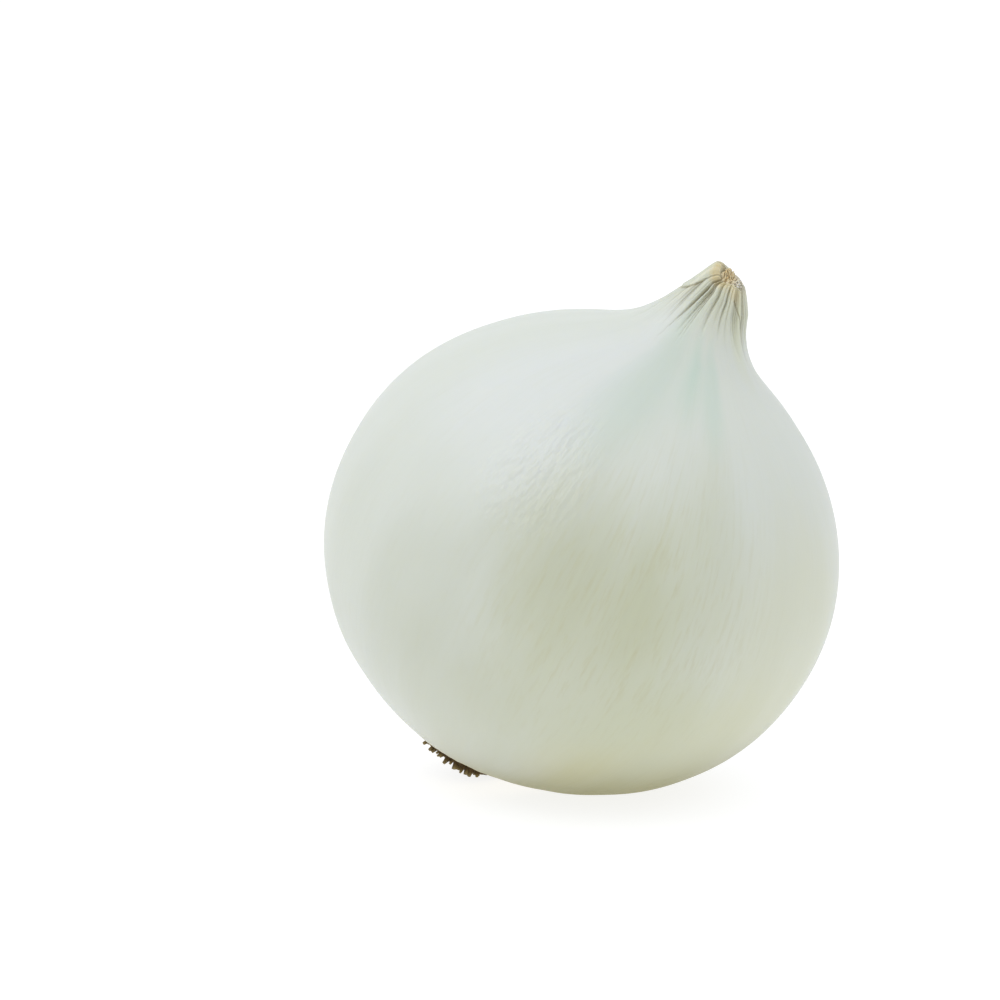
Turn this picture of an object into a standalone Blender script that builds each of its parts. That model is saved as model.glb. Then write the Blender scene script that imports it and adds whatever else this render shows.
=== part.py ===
"""A large white onion at rest: the bulb in its pale skin, its dry leaf ends and its root stubs.

Metres, +Z up. The origin is the middle of the small flat spot that the onion rests on.
The onion grows along its own axis. Each piece is modelled upright, with the root end below, the neck above
and the widest circle close to z = 0. One empty then lays all of them over in the lean that the onion has.
"""
import math
import random

import bmesh
import bpy
import numpy as np
from mathutils import Euler, Vector

MM = 0.001

# Edges that turn by more than this are drawn sharp
SHARP_ANGLE = math.radians(40)

# The bulb's outline, from the edge of the root plate up to the mouth of the neck: radius and height in mm
BODY_OUTLINE = [(8.2, -41.5), (20.3, -36.1), (33.2, -27.0), (41.9, -14.0), (44.8, 2.0), (41.2, 17.7),
                (31.2, 31.2), (20.4, 39.0), (12.8, 43.4), (8.9, 47.3), (6.5, 51.2), (5.1, 54.2)]
MOUTH_OUTLINE = [(4.4, 55.8), (3.6, 56.9), (2.9, 57.0), (2.4, 56.2), (2.2, 54.4)]
ROOT_RECESS = [(8.1, -41.3), (8.0, -40.9), (4.1, -40.9)]
BODY_ROWS = 3
MOUTH_ROWS = [2, 2, 1, 1, 1]
STEP_WEIGHT = 0.75

# The bulb isn't quite round: it bulges low on one side and high on the other
LOPSIDED = 0.75 * MM
LOPSIDED_TOWARDS = math.radians(-40)

# The root plate has grown a little to one side, and takes the bulb round it along
ROOT_ASIDE = 1.2 * MM
ROOT_END = (-33 * MM, -41 * MM)

# The neck bends to one side as it dries, and its mouth slopes down to that side
NECK_FOOT = 42 * MM
NECK_LENGTH = 18 * MM
NECK_BEND = 2.6 * MM
MOUTH_SLOPE = 3.4 * MM
MOUTH_RADIUS = 4 * MM

# The rim of the mouth: its high side closes over like a hood, and the side that shows best is low
RIM_REACH = (54 * MM, 57 * MM)
RIM_LIFT = -0.15 * MM
RIM_ASIDE = 0.2 * MM
HOOD_CENTRE = math.radians(25)
HOOD_SPREAD = math.radians(135)
HOOD_LIFT = 2.3 * MM
HOOD_ASIDE = 1.6 * MM
NOTCH_CENTRE = math.radians(-110)
NOTCH_SPREAD = math.radians(62)
NOTCH_DEPTH = 1.6 * MM

# How far above the floor of the mouth what stands in it has moved as far aside as the rim
MOUTH_DEPTH = 3.9 * MM

# The neck has twisted as it dried, by this angle per metre of height above its foot
TWIST = math.radians(2) / MM
TWIST_FOOT = 44 * MM

# The pleats on the side that shows best: azimuth in degrees before the twist, depth in mm, the height in mm
# where the pleat fades out, and how many degrees it drifts sideways for each mm on its way down
FRONT_PLEATS = [(-147, 0.5, 48.5, 0), (-129, 0.7, 47.5, 0), (-102, 0.8, 47.0, -1.5), (-79, 0.55, 48.0, 0),
                (-60, 0.4, 48.5, 0.5), (-38, 0.4, 46.0, 1.9), (-12, 0.4, 45.0, 0.3)]
DRIFT_REACH = 9 * MM

# The pleats behind, at even steps with a random shift
BACK_PLEATS = 13
PLEAT_SEED = 7
PLEAT_DEPTH = (0.5 * MM, 1.1 * MM)
PLEAT_FOOT = (43 * MM, 47 * MM)
PLEAT_SHIFT = 0.2

# The form of every pleat: a narrow valley, with the skin puffed out between one and the next
PLEAT_FULL = 54 * MM
PLEAT_ONSET = 0.8
PLEAT_SHARPNESS = 1.5
PLEAT_HALF_WIDTH = 0.4 * MM
FOLD_PUFF = 0.22 * MM

# The lean that the onion rests in, and the flat spot under it
LEAN = math.radians(28)
HEADING = math.radians(-25)
SPIN = math.radians(18)
FLAT_DEPTH = 0.4 * MM

# Touching pieces keep this gap, and a little more where one stands on a slope
GAP = 0.3 * MM
SLOPE_GAP = 0.45 * MM

# The dry ends of the inner leaves, gathered into two rings round a core: the radius in mm, the height in mm
# above the floor of the mouth, the depth of the folds in mm and their number
TIP_FORM = [(1.4, 0.0, 0.05, 13), (1.5, 0.4, 0.12, 13), (1.6, 1.2, 0.15, 13), (1.6, 1.9, 0.18, 13),
            (1.6, 2.3, 0.2, 13), (1.45, 2.35, 0.18, 13), (1.2, 1.7, 0.1, 13), (1.15, 2.3, 0.15, 9),
            (1.0, 2.75, 0.16, 9), (0.65, 2.8, 0.12, 9), (0.5, 2.2, 0.06, 9), (0.42, 2.8, 0.06, 5),
            (0.25, 3.1, 0.03, 5)]
TIP_COLUMNS = 78
TIP_SEED = 21
TIP_WANDER = (0.5, 0.25)
TIP_RAGGED = 0.15 * MM
TIP_WAVES = 5
LEAVES_ASIDE = 0.3 * MM

# The root plate: the share of its radius and of its thickness at each point of its rounded edge
PLATE_RADIUS = 7.7 * MM
PLATE_THICKNESS = 1.4 * MM
PLATE_EDGE = [(0.9, -1.0), (0.98, -0.85), (1.0, -0.4), (0.99, 0.0)]
PLATE_SIDES = 32

# The root stubs, in rings on the plate, each standing in it by this share of its thickness
ROOT_HELD = 0.5
ROOT_RINGS = 5
ROOT_OUTER_RING = 0.9
ROOT_RING_TURN = 0.5
ROOT_SPACING = 1.15 * MM
ROOT_SHIFT = (0.35, 0.04)
ROOT_SEED = 4
ROOT_RADIUS = (0.38 * MM, 0.55 * MM)
ROOT_TAPER = (1.25, 1.0, 0.7)
ROOT_LENGTH = (0.5 * MM, 1.3 * MM)
ROOT_SHORTEST = 0.3 * MM
ROOT_SPLAY = math.radians(38)
ROOT_STRAY = math.radians(12)
ROOT_BEND = (0.15 * MM, 0.5 * MM)
ROOT_CLEARANCE = 0.5 * MM
ROOT_SIDES = 5


def clear_scene():
    """Remove every object of the scene, the default cube included."""
    for thing in list(bpy.data.objects):
        bpy.data.objects.remove(thing, do_unlink=True)


def smooth_curve(points, rows_per_span):
    """Read points from a natural cubic spline through the given (radius, height) points."""
    knots = np.array(points)
    steps = np.linalg.norm(np.diff(knots, axis=0), axis=1) ** STEP_WEIGHT
    last = len(knots) - 1
    system = np.eye(last + 1)
    bends = np.zeros((last + 1, 2))
    for i in range(1, last):
        system[i, i - 1:i + 2] = steps[i - 1], 2 * (steps[i - 1] + steps[i]), steps[i]
        bends[i] = 6 * ((knots[i + 1] - knots[i]) / steps[i] - (knots[i] - knots[i - 1]) / steps[i - 1])
    curvature = np.linalg.solve(system, bends)
    curve = []
    for i, rows in enumerate(rows_per_span):
        for row in range(rows):
            after = row / rows
            before = 1 - after
            sag = (before ** 3 - before) * curvature[i] + (after ** 3 - after) * curvature[i + 1]
            curve.append(before * knots[i] + after * knots[i + 1] + sag * steps[i] ** 2 / 6)
    curve.append(knots[-1])
    return [(radius * MM, height * MM) for radius, height in curve]


def soft_step(value, start, end):
    """0 at start, 1 at end, and a smooth rise between."""
    share = min(max((value - start) / (end - start), 0), 1)
    return share * share * (3 - 2 * share)


def bump_round(azimuth, centre, spread):
    """1 at the centre, falling smoothly to 0 at an angle of spread to both sides."""
    away = abs((azimuth - centre + math.pi) % (2 * math.pi) - math.pi) / spread
    return math.cos(0.5 * math.pi * min(away, 1)) ** 2


def make_pleats():
    """The pleats in order round the neck: azimuth before the twist, depth, foot height and drift."""
    pleats = [(math.radians(azimuth), depth * MM, foot * MM, math.radians(drift) / MM)
              for azimuth, depth, foot, drift in FRONT_PLEATS]
    draw = random.Random(PLEAT_SEED)
    start = pleats[-1][0]
    step = (pleats[0][0] + 2 * math.pi - start) / (BACK_PLEATS + 1)
    for i in range(BACK_PLEATS):
        azimuth = start + step * (i + 1 + draw.uniform(-PLEAT_SHIFT, PLEAT_SHIFT))
        pleats.append((azimuth, draw.uniform(*PLEAT_DEPTH), draw.uniform(*PLEAT_FOOT), 0))
    return pleats


def valley_azimuth(pleat, height):
    """Where the valley of a pleat runs at a height, before the twist."""
    azimuth, _, _, drift = pleat
    return azimuth + drift * min(max(PLEAT_FULL - height, 0), DRIFT_REACH)


def twist_at(height):
    return TWIST * max(height - TWIST_FOOT, 0)


def pleat_columns(pleats, height):
    """Azimuths of one ring before the twist: the valley and brinks of each pleat, and the crest after it."""
    brink = PLEAT_HALF_WIDTH / (BODY_OUTLINE[-1][0] * MM)
    valleys = [valley_azimuth(pleat, height) for pleat in pleats]
    azimuths = []
    for i, valley in enumerate(valleys):
        following = valleys[(i + 1) % len(valleys)]
        crest = valley + ((following - valley) % (2 * math.pi)) / 2
        azimuths += [valley - brink, valley, valley + brink, crest]
    return azimuths


def pleat_offset(pleats, azimuth, radius, height):
    """How far the pleated skin stands out from the smooth outline, negative in a valley."""
    offset = 0.0
    for i, pleat in enumerate(pleats):
        start, depth, foot, _ = pleat
        valley = valley_azimuth(pleat, height)
        away = abs((azimuth - valley + math.pi) % (2 * math.pi) - math.pi) * radius
        deep = min(max((height - foot) / (PLEAT_FULL - foot), 0), 1) ** PLEAT_ONSET
        offset -= depth * deep * max(1 - away / PLEAT_HALF_WIDTH, 0) ** PLEAT_SHARPNESS
        following = pleats[(i + 1) % len(pleats)][0]
        width = (following - start) % (2 * math.pi)
        along = ((azimuth - start) % (2 * math.pi)) / width
        if along < 1:
            offset += FOLD_PUFF * deep * math.sin(math.pi * along)
    return offset


def mouth_shape(azimuth, near_rim):
    """How far the neck is raised and pushed aside by its dried mouth, by azimuth before the twist."""
    hood = bump_round(azimuth, HOOD_CENTRE, HOOD_SPREAD)
    notch = bump_round(azimuth, NOTCH_CENTRE, NOTCH_SPREAD)
    lift = RIM_LIFT + HOOD_LIFT * hood - NOTCH_DEPTH * notch
    aside = RIM_ASIDE + HOOD_ASIDE * hood
    return lift * near_rim, aside * near_rim


def onion_point(radius, azimuth, height):
    """Place a point of the upright onion: lopsided in the body, bent and sloping at the neck."""
    latitude = math.atan2(height, radius)
    rise = min(max((height - NECK_FOOT) / NECK_LENGTH, 0), 1)
    fade = min(max((NECK_FOOT + NECK_LENGTH - height) / NECK_LENGTH, 0), 1)
    swell = LOPSIDED * fade * math.sin(2 * latitude) * math.cos(azimuth - LOPSIDED_TOWARDS)
    scale = 1 + swell / math.hypot(radius, height)
    x = scale * radius * math.cos(azimuth) + NECK_BEND * rise ** 2 - ROOT_ASIDE * soft_step(height, *ROOT_END)
    y = scale * radius * math.sin(azimuth)
    z = scale * height - MOUTH_SLOPE * rise ** 2 * math.cos(azimuth) * min(radius / MOUTH_RADIUS, 1)
    return Vector((x, y, z))


def place_on_onion(mesh):
    """Move a piece that was modelled round a straight axis to the part of the bulb that it sits on."""
    for vertex in mesh.verts:
        radius = math.hypot(vertex.co.x, vertex.co.y)
        azimuth = math.atan2(vertex.co.y, vertex.co.x)
        height = vertex.co.z
        in_mouth = min(max((height - MOUTH_OUTLINE[-1][1] * MM) / MOUTH_DEPTH, 0), 1)
        _, aside = mouth_shape(azimuth + twist_at(height), in_mouth)
        aside += LEAVES_ASIDE * in_mouth ** 2
        vertex.co = onion_point(radius, azimuth, height) - Vector((aside, 0, 0))


def add_ring(mesh, points):
    return [mesh.verts.new(point) for point in points]


def bridge(mesh, lower, upper):
    """Join two rings of as many points with quads that face out."""
    for i in range(len(lower)):
        j = (i + 1) % len(lower)
        mesh.faces.new((lower[i], lower[j], upper[j], upper[i]))


def close_ring(mesh, ring, centre, facing_up):
    """Close a ring with a fan of triangles round a middle point."""
    middle = mesh.verts.new(centre)
    for i in range(len(ring)):
        j = (i + 1) % len(ring)
        corners = (ring[i], ring[j], middle) if facing_up else (ring[j], ring[i], middle)
        mesh.faces.new(corners)


def azimuth_steps(count):
    return [2 * math.pi * i / count for i in range(count)]


def make_material(name, colour, roughness):
    material = bpy.data.materials.new(name)
    material.use_nodes = True
    shader = material.node_tree.nodes["Principled BSDF"]
    shader.inputs["Base Color"].default_value = (*colour, 1)
    shader.inputs["Roughness"].default_value = roughness
    shader.inputs["Metallic"].default_value = 0
    return material


def make_object(name, mesh, material, parent):
    """Turn a bmesh into a named, smooth-shaded object under the parent."""
    data = bpy.data.meshes.new(name)
    mesh.to_mesh(data)
    mesh.free()
    data.materials.append(material)
    data.shade_smooth()
    data.set_sharp_from_angle(angle=SHARP_ANGLE)
    thing = bpy.data.objects.new(name, data)
    bpy.context.scene.collection.objects.link(thing)
    thing.parent = parent
    return thing


def bulb_rows():
    """The rings of the bulb: radius, height, whether the skin is pleated, and how near the rim it is."""
    rows = [(radius * MM, height * MM, False, 0) for radius, height in reversed(ROOT_RECESS)]
    outline = smooth_curve(BODY_OUTLINE + MOUTH_OUTLINE, [BODY_ROWS] * (len(BODY_OUTLINE) - 1) + MOUTH_ROWS)
    inner_rows = sum(MOUTH_ROWS[2:])
    rim = len(outline) - 1 - inner_rows
    for i, (radius, height) in enumerate(outline):
        inside = max(i - rim, 0) / inner_rows
        near_rim = 1 - inside if inside else soft_step(height, *RIM_REACH)
        rows.append((radius, height, i <= rim + 1, near_rim))
    return rows


def bulb_mesh():
    """The bulb as rings of points from the root recess, over the body and the neck, down into the mouth."""
    pleats = make_pleats()
    rows = bulb_rows()
    mesh = bmesh.new()
    rings = []
    for radius, height, pleated, near_rim in rows:
        ring = []
        for azimuth in pleat_columns(pleats, height):
            offset = pleat_offset(pleats, azimuth, radius, height) if pleated else 0
            lift, aside = mouth_shape(azimuth, near_rim)
            point = onion_point(radius + offset, azimuth - twist_at(height), height + lift)
            ring.append(point - Vector((aside, 0, 0)))
        rings.append(add_ring(mesh, ring))
    for lower, upper in zip(rings, rings[1:]):
        bridge(mesh, lower, upper)
    close_ring(mesh, rings[0], onion_point(0, 0, rows[0][1]), facing_up=False)
    close_ring(mesh, rings[-1], onion_point(0, 0, rows[-1][1]), facing_up=True)
    return mesh


def cut_flat(mesh, down):
    """Cut the flat spot square to the downward direction and give the level and the middle of the cut."""
    level = max(down.dot(vertex.co) for vertex in mesh.verts) - FLAT_DEPTH
    everything = mesh.verts[:] + mesh.edges[:] + mesh.faces[:]
    place = down * level
    cut = bmesh.ops.bisect_plane(mesh, geom=everything, plane_co=place, plane_no=down, clear_outer=True)
    rim = [item for item in cut["geom_cut"] if isinstance(item, bmesh.types.BMEdge)]
    flat = bmesh.ops.edgeloop_fill(mesh, edges=rim)["faces"][0]
    flat.normal_update()
    if flat.normal.dot(down) < 0:
        flat.normal_flip()
    return level, flat.calc_center_median_weighted()


def add_tube(mesh, points, radii, sides, turn):
    """A closed tapered tube along a list of points, with its sides turned by an angle."""
    rings = []
    for i, point in enumerate(points):
        ahead = points[min(i + 1, len(points) - 1)] - points[max(i - 1, 0)]
        across = ahead.to_track_quat("Z", "Y")
        ring = []
        for side in range(sides):
            angle = turn + side * 2 * math.pi / sides
            ring.append(point + across @ Vector((math.cos(angle), math.sin(angle), 0)) * radii[i])
        rings.append(add_ring(mesh, ring))
    for lower, upper in zip(rings, rings[1:]):
        bridge(mesh, lower, upper)
    mesh.faces.new(list(reversed(rings[0])))
    mesh.faces.new(rings[-1])


def unite(name, meshes, material, parent):
    """Fuse closed meshes into one object on the onion, with a single Boolean union on a collection."""
    for mesh in meshes:
        place_on_onion(mesh)
    first = make_object(name, meshes[0], material, parent)
    others = bpy.data.collections.new(name + "_parts")
    for i, mesh in enumerate(meshes[1:]):
        piece = make_object(f"{name}_part_{i}", mesh, material, parent)
        bpy.context.scene.collection.objects.unlink(piece)
        others.objects.link(piece)
    union = first.modifiers.new("union", "BOOLEAN")
    union.operation = "UNION"
    union.operand_type = "COLLECTION"
    union.solver = "MANIFOLD"
    union.collection = others
    graph = bpy.context.evaluated_depsgraph_get()
    fused = bpy.data.meshes.new_from_object(first.evaluated_get(graph), depsgraph=graph)
    first.modifiers.clear()
    first.data = fused
    for piece in list(others.objects):
        bpy.data.objects.remove(piece, do_unlink=True)
    bpy.data.collections.remove(others)
    return first


def root_plate_mesh():
    """The corky plate: a disc with a rounded lower edge, held off the bulb by the gap."""
    top = ROOT_RECESS[-1][1] * MM - GAP
    mesh = bmesh.new()
    rings = []
    for reach, drop in PLATE_EDGE:
        radius = PLATE_RADIUS * reach
        height = top + PLATE_THICKNESS * drop
        turns = azimuth_steps(PLATE_SIDES)
        rings.append(add_ring(mesh, [(radius * math.cos(a), radius * math.sin(a), height) for a in turns]))
    for lower, upper in zip(rings, rings[1:]):
        bridge(mesh, lower, upper)
    close_ring(mesh, rings[0], (0, 0, top - PLATE_THICKNESS), facing_up=False)
    close_ring(mesh, rings[-1], (0, 0, top), facing_up=True)
    return mesh


def root_places():
    """Where the roots stand on the plate: even rings, as a share of the plate's radius and an azimuth."""
    places = []
    for ring in range(ROOT_RINGS):
        reach = ROOT_OUTER_RING * (1 - ring / ROOT_RINGS)
        count = round(2 * math.pi * reach * PLATE_RADIUS / ROOT_SPACING)
        places += [(reach, azimuth + ROOT_RING_TURN * ring) for azimuth in azimuth_steps(count)]
    return places


def root_stub_meshes(down, level):
    """Dried root stubs in rings on the plate, splayed outwards and worn short over the table."""
    draw = random.Random(ROOT_SEED)
    held = ROOT_HELD * PLATE_THICKNESS
    base_height = ROOT_RECESS[-1][1] * MM - GAP - PLATE_THICKNESS + held
    stubs = []
    for reach, azimuth in root_places():
        azimuth += draw.uniform(-1, 1) * ROOT_SHIFT[0] * ROOT_SPACING / (reach * PLATE_RADIUS)
        reach += draw.uniform(-1, 1) * ROOT_SHIFT[1]
        outward = Vector((math.cos(azimuth), math.sin(azimuth), 0))
        base = outward * (PLATE_RADIUS * reach) + Vector((0, 0, base_height))
        splay = ROOT_SPLAY * reach ** 2 + draw.uniform(-ROOT_STRAY, ROOT_STRAY)
        sideways = outward.cross(Vector((0, 0, 1))) * math.tan(draw.uniform(-ROOT_STRAY, ROOT_STRAY))
        heading = (outward * math.sin(splay) - Vector((0, 0, math.cos(splay))) + sideways).normalized()
        width = draw.uniform(*ROOT_RADIUS)
        length = draw.uniform(*ROOT_LENGTH) + held
        bend = outward * draw.uniform(0, ROOT_BEND[0]) + sideways * ROOT_BEND[1]
        turn = draw.uniform(0, math.pi)
        room = level - down.dot(base - Vector((ROOT_ASIDE, 0, 0))) - ROOT_CLEARANCE - width
        steepness = max(heading.dot(down), 0.01)
        length = min(length, room / steepness)
        if length < held + ROOT_SHORTEST:
            continue
        points = [base, base + heading * length * 0.5 + bend, base + heading * length]
        stub = bmesh.new()
        add_tube(stub, points, [width * share for share in ROOT_TAPER], ROOT_SIDES, turn)
        stubs.append(stub)
    return stubs


def gather(azimuth, folds, wander):
    """A loop gathered into uneven folds: 1 on the crests and -1 in the sharp valleys between them."""
    return 2 * abs(math.sin(0.5 * folds * azimuth + wander)) - 1


def neck_tip_mesh():
    """The leaf ends in the mouth of the neck, as one solid whose rings are gathered into folds."""
    draw = random.Random(TIP_SEED)
    lags = [draw.uniform(0, 2 * math.pi) for _ in range(3)]
    floor = MOUTH_OUTLINE[-1][1] * MM + SLOPE_GAP
    mesh = bmesh.new()
    rings = []
    for radius, height, depth, folds in TIP_FORM:
        ring = []
        for azimuth in azimuth_steps(TIP_COLUMNS):
            wander = TIP_WANDER[0] * math.sin(azimuth + lags[0])
            wander += TIP_WANDER[1] * math.sin(2 * azimuth + lags[1])
            spread = radius * MM + depth * MM * gather(azimuth, folds, wander)
            ragged = TIP_RAGGED * math.sin(TIP_WAVES * azimuth + lags[2]) * height / TIP_FORM[-1][1]
            level = floor + height * MM + ragged
            ring.append((spread * math.cos(azimuth), spread * math.sin(azimuth), level))
        rings.append(add_ring(mesh, ring))
    for lower, upper in zip(rings, rings[1:]):
        bridge(mesh, lower, upper)
    close_ring(mesh, rings[0], (0, 0, floor), facing_up=False)
    close_ring(mesh, rings[-1], (0, 0, floor + TIP_FORM[-1][1] * MM), facing_up=True)
    place_on_onion(mesh)
    return mesh


def build_onion():
    clear_scene()
    lean = Euler((0, LEAN, HEADING)).to_matrix() @ Euler((0, 0, SPIN)).to_matrix()
    down = lean.inverted() @ Vector((0, 0, -1))

    rest = bpy.data.objects.new("rest", None)
    bpy.context.scene.collection.objects.link(rest)

    skin = make_material("pale_skin", (0.68, 0.71, 0.60), 0.4)
    tan = make_material("dry_leaf", (0.53, 0.42, 0.24), 0.7)
    brown = make_material("dry_root", (0.19, 0.14, 0.09), 0.85)

    mesh = bulb_mesh()
    level, middle = cut_flat(mesh, down)
    make_object("bulb", mesh, skin, rest)
    make_object("neck_tip", neck_tip_mesh(), tan, rest)
    unite("root_tuft", [root_plate_mesh()] + root_stub_meshes(down, level), brown, rest)

    rest.rotation_euler = lean.to_euler()
    rest.location = -(lean @ middle)


build_onion()
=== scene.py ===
# %% [markdown]
# # A white onion, lying at rest
#
# The frame is the imported model of the onion: three solids named bulb, neck_tip and root_tuft, which say
# how large each piece is and where it lies. This lesson dresses that frame. Every piece is a mesh
# worked out by a formula, and every finish is a small tree of nodes, so the whole onion can be changed
# by changing a few numbers.
#
# We begin by loading the frame.

# %% Load the imported onion
import math
import random

import bpy
import numpy as np
from mathutils import Euler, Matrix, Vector


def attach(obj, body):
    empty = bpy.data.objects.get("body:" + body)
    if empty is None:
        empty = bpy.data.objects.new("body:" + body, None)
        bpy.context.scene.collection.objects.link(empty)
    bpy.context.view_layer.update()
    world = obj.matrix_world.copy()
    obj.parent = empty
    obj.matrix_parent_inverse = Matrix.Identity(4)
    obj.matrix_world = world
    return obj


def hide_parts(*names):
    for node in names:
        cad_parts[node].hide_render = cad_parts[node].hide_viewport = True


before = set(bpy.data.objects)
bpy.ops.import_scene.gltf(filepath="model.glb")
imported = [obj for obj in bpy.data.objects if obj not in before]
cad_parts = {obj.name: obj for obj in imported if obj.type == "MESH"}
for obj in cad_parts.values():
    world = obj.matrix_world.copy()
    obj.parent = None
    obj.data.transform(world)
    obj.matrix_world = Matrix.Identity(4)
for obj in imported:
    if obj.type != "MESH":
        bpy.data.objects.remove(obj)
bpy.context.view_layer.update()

MM = 0.001
print("pieces of the frame:", sorted(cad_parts))

# %% [markdown]
# ## The camera
#
# A long lens from a little over half a metre flattens the onion as a product photograph does. It looks
# down by 10 degrees, and it aims a little left of the onion and above its middle, so the onion sits
# right of and below the middle of the square picture.

# %% Place the camera
LOOK_DOWN = math.radians(10)
CAMERA_DISTANCE = 0.5807
CAMERA_AIM = Vector((-15.52, 1.91, 50.19)) * MM
LENS_LENGTH = 120
SENSOR_WIDTH = 36

lens = bpy.data.cameras.new("long_lens")
lens.lens = LENS_LENGTH
lens.sensor_width = SENSOR_WIDTH
camera = bpy.data.objects.new("camera", lens)
towards_camera = Vector((0, -math.cos(LOOK_DOWN), math.sin(LOOK_DOWN)))
camera.location = CAMERA_AIM + towards_camera * CAMERA_DISTANCE
camera.rotation_euler = (math.pi / 2 - LOOK_DOWN, 0, 0)
bpy.context.scene.collection.objects.link(camera)
bpy.context.scene.camera = camera
print("camera at", [round(c, 3) for c in camera.location])

# %% [markdown]
# ## Two helpers for every finish
#
# Colours are easiest to pick as the hex values of a paint chart, but shaders add light up in linear
# numbers, so one function turns the first into the second. A node tree is a chain of small steps. One
# function adds a step, sets what it needs, and links it to the steps before it: an input that is given
# a socket is linked, and any other input is set.

# %% Helpers for colours and nodes
def linear(hex_colour):
    """Turn an sRGB hex colour such as "#ffffff" into linear red, green, blue and alpha."""
    channels = [int(hex_colour[i:i + 2], 16) / 255 for i in (1, 3, 5)]
    return [c / 12.92 if c <= 0.04045 else ((c + 0.055) / 1.055) ** 2.4 for c in channels] + [1]


def add_node(tree, kind, settings, inputs):
    """Add a node to the tree, with its settings, and link or set its inputs by name or by number."""
    node = tree.nodes.new(kind)
    for name, value in settings.items():
        setattr(node, name, value)
    for key, value in inputs.items():
        if isinstance(value, bpy.types.NodeSocket):
            tree.links.new(value, node.inputs[key])
        else:
            node.inputs[key].default_value = value
    return node


def new_finish(name):
    """Make an empty material and give its tree and its main shader."""
    material = bpy.data.materials.new(name)
    material.use_nodes = True
    return material, material.node_tree, material.node_tree.nodes["Principled BSDF"]


print("white is", linear("#ffffff"))

# %% [markdown]
# ## The onion's own axis
#
# An onion grows upright: roots below, neck above, everything else in rings round one axis. It is far
# easier to model it upright and lay it over afterwards, so every piece here is made round the z axis in
# millimetres, and one matrix leans it over and sets it down on its flat spot, exactly as the frame
# does.

# %% The lean that the onion rests in
LEAN = math.radians(28)
HEADING = math.radians(-25)
SPIN = math.radians(18)
HEART = Vector((-1.864, 0.158, 40.235)) * MM

lean = Euler((0, LEAN, HEADING)).to_matrix() @ Euler((0, 0, SPIN)).to_matrix()
LEAN_ROWS = np.array(lean)
DOWN = np.array(lean.inverted() @ Vector((0, 0, -1)))
print("straight down, seen from the upright onion:", DOWN.round(3))

# %% [markdown]
# ## The outline
#
# Turned on its axis, an onion is a curve: flat below the root plate, widest near the middle, and drawn
# in to a concave neck. A handful of measured radii and heights, in mm, is enough if a spline is laid
# through them, because a natural cubic spline bends as evenly as a thin wooden batten. The steps
# between the points are weighted by their distance, which keeps the long spans of the body from
# overshooting into the short spans of the neck.

# %% The outline as a spline
BODY_OUTLINE = [(8.2, -41.5), (20.3, -36.1), (33.2, -27.0), (41.9, -14.0), (44.8, 2.0), (41.2, 17.7),
                (31.2, 31.2), (20.4, 39.0), (12.8, 43.4), (8.9, 47.3), (6.5, 51.2), (5.1, 54.2)]
MOUTH_OUTLINE = [(4.4, 55.8), (3.6, 56.9), (2.9, 57.0), (2.4, 56.2), (2.2, 54.4)]
ROOT_RECESS = [(4.1, -40.9), (8.0, -40.9), (8.1, -41.3)]
BODY_ROWS = [14, 18, 18, 18, 18, 20, 18, 16, 18, 20, 16]
MOUTH_ROWS = [12, 10, 8, 8, 8]
STEP_WEIGHT = 0.75


def smooth_curve(points, rows_per_span):
    """Read points from a natural cubic spline through the given (radius, height) points."""
    knots = np.array(points)
    steps = np.linalg.norm(np.diff(knots, axis=0), axis=1) ** STEP_WEIGHT
    last = len(knots) - 1
    system = np.eye(last + 1)
    bends = np.zeros((last + 1, 2))
    for i in range(1, last):
        system[i, i - 1:i + 2] = steps[i - 1], 2 * (steps[i - 1] + steps[i]), steps[i]
        bends[i] = 6 * ((knots[i + 1] - knots[i]) / steps[i] - (knots[i] - knots[i - 1]) / steps[i - 1])
    curvature = np.linalg.solve(system, bends)
    curve = []
    for i, rows in enumerate(rows_per_span):
        for row in range(rows):
            after = row / rows
            before = 1 - after
            sag = (before ** 3 - before) * curvature[i] + (after ** 3 - after) * curvature[i + 1]
            curve.append(before * knots[i] + after * knots[i + 1] + sag * steps[i] ** 2 / 6)
    curve.append(knots[-1])
    return np.array(curve)


outline = np.vstack([ROOT_RECESS, smooth_curve(BODY_OUTLINE + MOUTH_OUTLINE, BODY_ROWS + MOUTH_ROWS)])
print("rows from the root to the mouth:", len(outline))

# %% [markdown]
# ## Where the rings really lie
#
# No onion is quite round. This one bulges low on one side, its neck has bent over as it dried, and its
# mouth slopes. Rather than shape each piece to that, one function takes any point of a perfectly round
# onion and gives its true place. The skin, the leaf ends and the roots all go through it, so they
# always fit each other.

# %% From a round onion to this one
LOPSIDED = 0.75
LOPSIDED_TOWARDS = math.radians(-40)
ROOT_ASIDE = 1.2
ROOT_END = (-33, -41)
NECK_FOOT = 42
NECK_LENGTH = 18
NECK_BEND = 2.6
MOUTH_SLOPE = 3.4
MOUTH_RADIUS = 4


def soft_step(value, start, end):
    """0 before start, 1 after end, and a smooth rise between."""
    share = np.clip((value - start) / (end - start), 0, 1)
    return share * share * (3 - 2 * share)


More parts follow.
